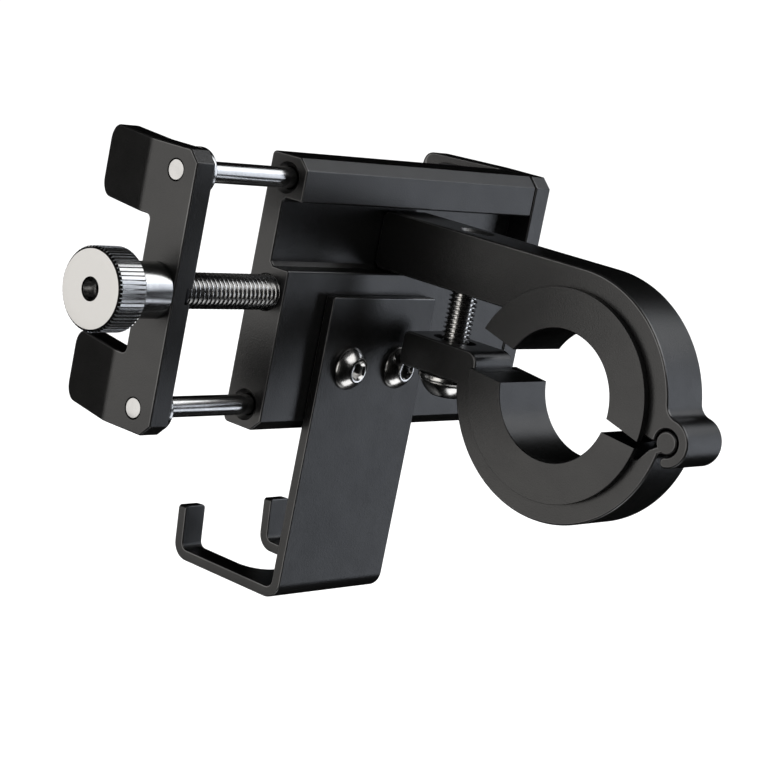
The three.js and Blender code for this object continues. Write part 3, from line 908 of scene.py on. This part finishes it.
def build_knob():
    """Straight knurl of 60 teeth, a smooth hub and a bored face."""
    face, end = knob_lo.x, knob_hi.x
    shoulder = face + 6.0
    r, hub, bore_r = 6.8, 4.6, 1.75
    thread_r, thread_end = SCREW_R + 0.1, face + 5
    teeth, per, groove_d = 60, 8, 0.36
    segments = teeth * per
    wave = [0.0] * (per - 2) + [groove_d] * 2
    rings = []
    marks = []
    bm = bmesh.new()

    def add(radius, along, groove, mark=0):
        """A ring of vertices; groove is the share of the knurl's depth and mark the next material."""
        ring = []
        for k in range(segments):
            a = 2 * math.pi * k / segments
            size = radius - groove * wave[k % per]
            ring.append(bm.verts.new(Vector((along, size * math.cos(a), size * math.sin(a)))))
        rings.append(ring)
        marks.append(mark)

    add(bore_r, thread_end, 0)
    add(bore_r, face + 0.2, 0)
    for radius in (bore_r + 0.2, 3.2, 4.6, r - 0.75):
        add(radius, face, 0, 1)
    add(r - 0.5, face + 0.02, 0)
    add(r - 0.18, face + 0.28, 0.35)
    add(r, face + 0.5, 1)
    add(r, shoulder - 0.5, 1)
    add(r - 0.18, shoulder - 0.22, 0.35)
    add(r - 0.5, shoulder, 0)
    add(hub + 0.15, shoulder, 0)
    add(hub, shoulder + 0.15, 0)
    add(hub, end - 0.2, 0)
    add(hub - 0.2, end, 0)
    add(thread_r, end, 0)
    add(thread_r, thread_end, 0)
    rings.append(rings[0])
    skin(bm, rings, marks)
    bmesh.ops.translate(bm, vec=(0, MID_Y, MID_Z), verts=bm.verts)
    bmesh.ops.recalc_face_normals(bm, faces=bm.faces)
    make("thumb_knob", bm, [STEEL_ROUND_X_PAINTED_SHADE, KNOB_FACE], sharp=30)


def build_lead_screw():
    """The thread, and the thinner plain stub at its left end, which stands in the knob's bore."""
    centre = (0, MID_Y, MID_Z)
    stub_r, thread_start, stub_end = 1.55, screw_lo.x + 2.4, screw_lo.x + 2.6
    pitch, lead_in = 1.0, 0.7
    bm = thread("x", SCREW_R, pitch, thread_start, screw_hi.x, lead_in, centre)
    make("lead_screw", bm, [STEEL_ROUND_X_PAINTED_SHADE], sharp=50, weighted=False)
    corners = [(0, screw_lo.x), (stub_r, screw_lo.x, 0.25), (stub_r, stub_end), (0, stub_end)]
    make("lead_screw", pin("x", corners, centre, 48), [STEEL_ROUND_X_PAINTED_SHADE], name="lead_screw_stub")


def build_flat_screw(node, axis, r, head_r, socket):
    """A countersunk screw whose head faces the high end of its axis."""
    lo, hi = box(node)
    middle = (lo + hi) / 2
    low, high = (lo.x, hi.x) if axis == "x" else (lo.y, hi.y)
    centre = (0, middle.y, middle.z) if axis == "x" else (middle.x, 0, middle.z)
    chamfer, lip, rim, socket_depth = 0.4, 0.3, 0.08, 1.6
    profile = [
        (0, low), (r - chamfer, low), (r, low + chamfer), (r, high - head_r + r - lip),
        (head_r, high - lip), (head_r, high - rim), (head_r - rim, high), (0, high),
    ]
    hexagon = hex_cutter(axis, socket, high - socket_depth, high + 1, centre)
    make(node, lathe(axis, profile, 64, centre), [BLACK_STEEL], [hexagon])


def build_hidden():
    for level in ("upper", "lower"):
        build_flat_screw(f"right_jaw_screw_{level}", "x", M4_R, 3.7, 1.25)
    build_flat_screw("arm_screw", "y", M5_R, 4.6, 1.75)
    lo, hi = box("screw_retaining_ring")
    inner, outer = SCREW_R + 0.1, (hi.z - lo.z) / 2
    corners = [(inner, lo.x, 0.1), (outer, lo.x, 0.15), (outer, hi.x, 0.15), (inner, hi.x, 0.1)]
    make("screw_retaining_ring", turned_ring("x", corners, 48, (0, MID_Y, MID_Z)), [BLACK_STEEL])


# ---------------------------------------------------------------- rubber pads
def rectangle(low, high, half, r, steps=8):
    """A rectangle from low to high in a and 2 * half wide in b, with rounded corners."""
    return rounded([(low, -half, r), (low, half, r), (high, half, r), (high, -half, r)], steps)


def build_face_pad():
    """A pad with straight grooves across its front."""
    half_w = (pad_hi.x - pad_lo.x) / 2
    half_h = (pad_hi.z - pad_lo.z) / 2
    bm = prism("y", rectangle(MID_Z - half_h, MID_Z + half_h, half_w, 3), pad_lo.y, pad_hi.y, 0.45, 4)
    grooves = []
    count, pitch, half_groove, depth, margin = 9, 5.6, 0.55, 0.5, 4
    for i in range(count):
        z = MID_Z + (i - (count - 1) / 2) * pitch
        bar = rectangle(z - half_groove, z + half_groove, half_w - margin, 0.5, 4)
        grooves.append(prism("y", bar, pad_hi.y - depth, pad_hi.y + 1, 0.1, 1))
    make("face_pad", bm, [RUBBER, RUBBER], grooves)


def build_jaw_pad(node, side, inner):
    """A thin pad with soft edges on the inner side of a prong."""
    lo, hi = box(node)
    angle = math.radians(JAW_ANGLE)
    first, last = 2.2, 11.6             # from the bend towards the tip
    thick, gap = 1.0, 0.2
    corner, back_edge, front_edge = 1.6, 0.12, 0.6
    outline = rounded([
        (first, lo.z, corner), (last, lo.z, corner), (last, hi.z, corner), (first, hi.z, corner),
    ])
    bm = prism("z", outline, 0, thick, back_edge, 4, lambda p: front_edge)
    for v in bm.verts:
        s, z, d = v.co
        out = d - gap - thick
        v.co = Vector((
            side * (inner + out * math.cos(angle) - s * math.sin(angle)),
            JAW_BEND + s * math.cos(angle) + out * math.sin(angle),
            z,
        ))
    make(node, outward(bm), [RUBBER, RUBBER])


# ---------------------------------------------------------------- build
build_arm()
build_lower()
build_reducer("reducer_upper", 1, 2.33, 16.1)
build_reducer("reducer_lower", -1, 2.02, 6.1)
build_washer()
build_bolt()
build_block()
left_inner = -left_lo.x - JAW_T
right_inner = right_hi.x - JAW_T
build_jaw("left_jaw", -1, left_inner, left_jaw_holes())
build_jaw("right_jaw", 1, right_inner, right_jaw_holes())
for level in ("upper", "lower"):
    build_jaw_pad(f"left_pad_{level}", -1, left_inner)
    build_jaw_pad(f"right_pad_{level}", 1, right_inner)
build_tray()
build_tray_screws()
build_rods()
build_knob()
build_lead_screw()
build_face_pad()
build_hidden()


# ---------------------------------------------------------------- camera
def look(azimuth, elevation, roll):
    """Camera axes: azimuth from -Y towards +X, elevation above level, roll clockwise."""
    a, e, t = (math.radians(value) for value in (azimuth, elevation, roll))
    back = Vector((math.sin(a) * math.cos(e), -math.cos(a) * math.cos(e), math.sin(e)))
    level = Vector((0, 0, 1)).cross(back).normalized()
    rise = back.cross(level)
    right = level * math.cos(t) + rise * math.sin(t)
    up = rise * math.cos(t) - level * math.sin(t)
    return Matrix((right, up, back)).transposed()


AIM = Vector((-0.0202, 0.0254, -0.0039))
DISTANCE = 0.4
turn = look(-51.05, 10.48, 11.28)
camera_data = bpy.data.cameras.new("camera")
camera_data.lens = 112.3
camera_data.sensor_width = 36.0
camera_data.shift_x = 0.0042
camera_data.shift_y = -0.0065
camera_data.clip_start = 0.01
camera_data.clip_end = 100.0
camera = bpy.data.objects.new("camera", camera_data)
camera.matrix_world = Matrix.Translation(AIM + turn.col[2] * DISTANCE) @ turn.to_4x4()
bpy.context.scene.collection.objects.link(camera)
bpy.context.scene.camera = camera


# ---------------------------------------------------------------- lights
def softbox(name, place, aim, width, height, power, colour):
    data = bpy.data.lights.new(name, "AREA")
    data.shape = "RECTANGLE"
    data.size = width
    data.size_y = height
    data.energy = power
    data.color = colour
    light = bpy.data.objects.new(name, data)
    light.location = place
    light.rotation_euler = (Vector(aim) - Vector(place)).to_track_quat("-Z", "Y").to_euler()
    light.visible_camera = False
    bpy.context.scene.collection.objects.link(light)


CENTRE = (Vector(cad_bounds[0]) + Vector(cad_bounds[1])) / 2
softbox("left_box", (-1.09, 0.51, 0.0), CENTRE, 1.9, 1.0, 7.5, (1.0, 0.975, 0.94))
softbox("right_box", (1.11, -0.78, 0.1), CENTRE, 0.5, 1.6, 4.5, (0.86, 0.91, 1.0))
softbox("crown_box", (1.0, -0.25, 0.8), CENTRE, 0.5, 0.45, 0.8, (0.9, 0.94, 1.0))
softbox("top_box", (0.27, -0.72, 0.92), CENTRE, 2.0, 0.7, 6.5, (1.0, 0.99, 0.98))
softbox("under_box", (0.15, -0.38, -0.95), CENTRE, 0.6, 0.6, 1.7, (1.0, 1.0, 1.0))

world = bpy.data.worlds.new("studio")
world.use_nodes = True
world.node_tree.nodes["Background"].inputs["Color"].default_value = (1, 1, 1, 1)
world.node_tree.nodes["Background"].inputs["Strength"].default_value = 1.1
world.cycles_visibility.glossy = False
bpy.context.scene.world = world
bpy.context.scene.view_settings.view_transform = "Standard"

# A pale floor under the mount, kept out of reflections and shadows
floor_mesh = bpy.data.meshes.new("floor")
reach, drop = 6.0, 0.06
floor_z = cad_bounds[0][2] - drop
floor_mesh.from_pydata(
    [(-reach, -reach, floor_z), (reach, -reach, floor_z), (reach, reach, floor_z), (-reach, reach, floor_z)],
    [],
    [(0, 1, 2, 3)],
)
floor = bpy.data.objects.new("floor", floor_mesh)
bpy.context.scene.collection.objects.link(floor)
pale, *_, pale_shader = new_material("pale_floor")
pale_shader.inputs["Base Color"].default_value = (0.95, 0.95, 0.95, 1)
pale_shader.inputs["Roughness"].default_value = 1.0
pale_shader.inputs["Specular IOR Level"].default_value = 0.0
floor_mesh.materials.append(pale)
floor.visible_glossy = False
floor.visible_shadow = False
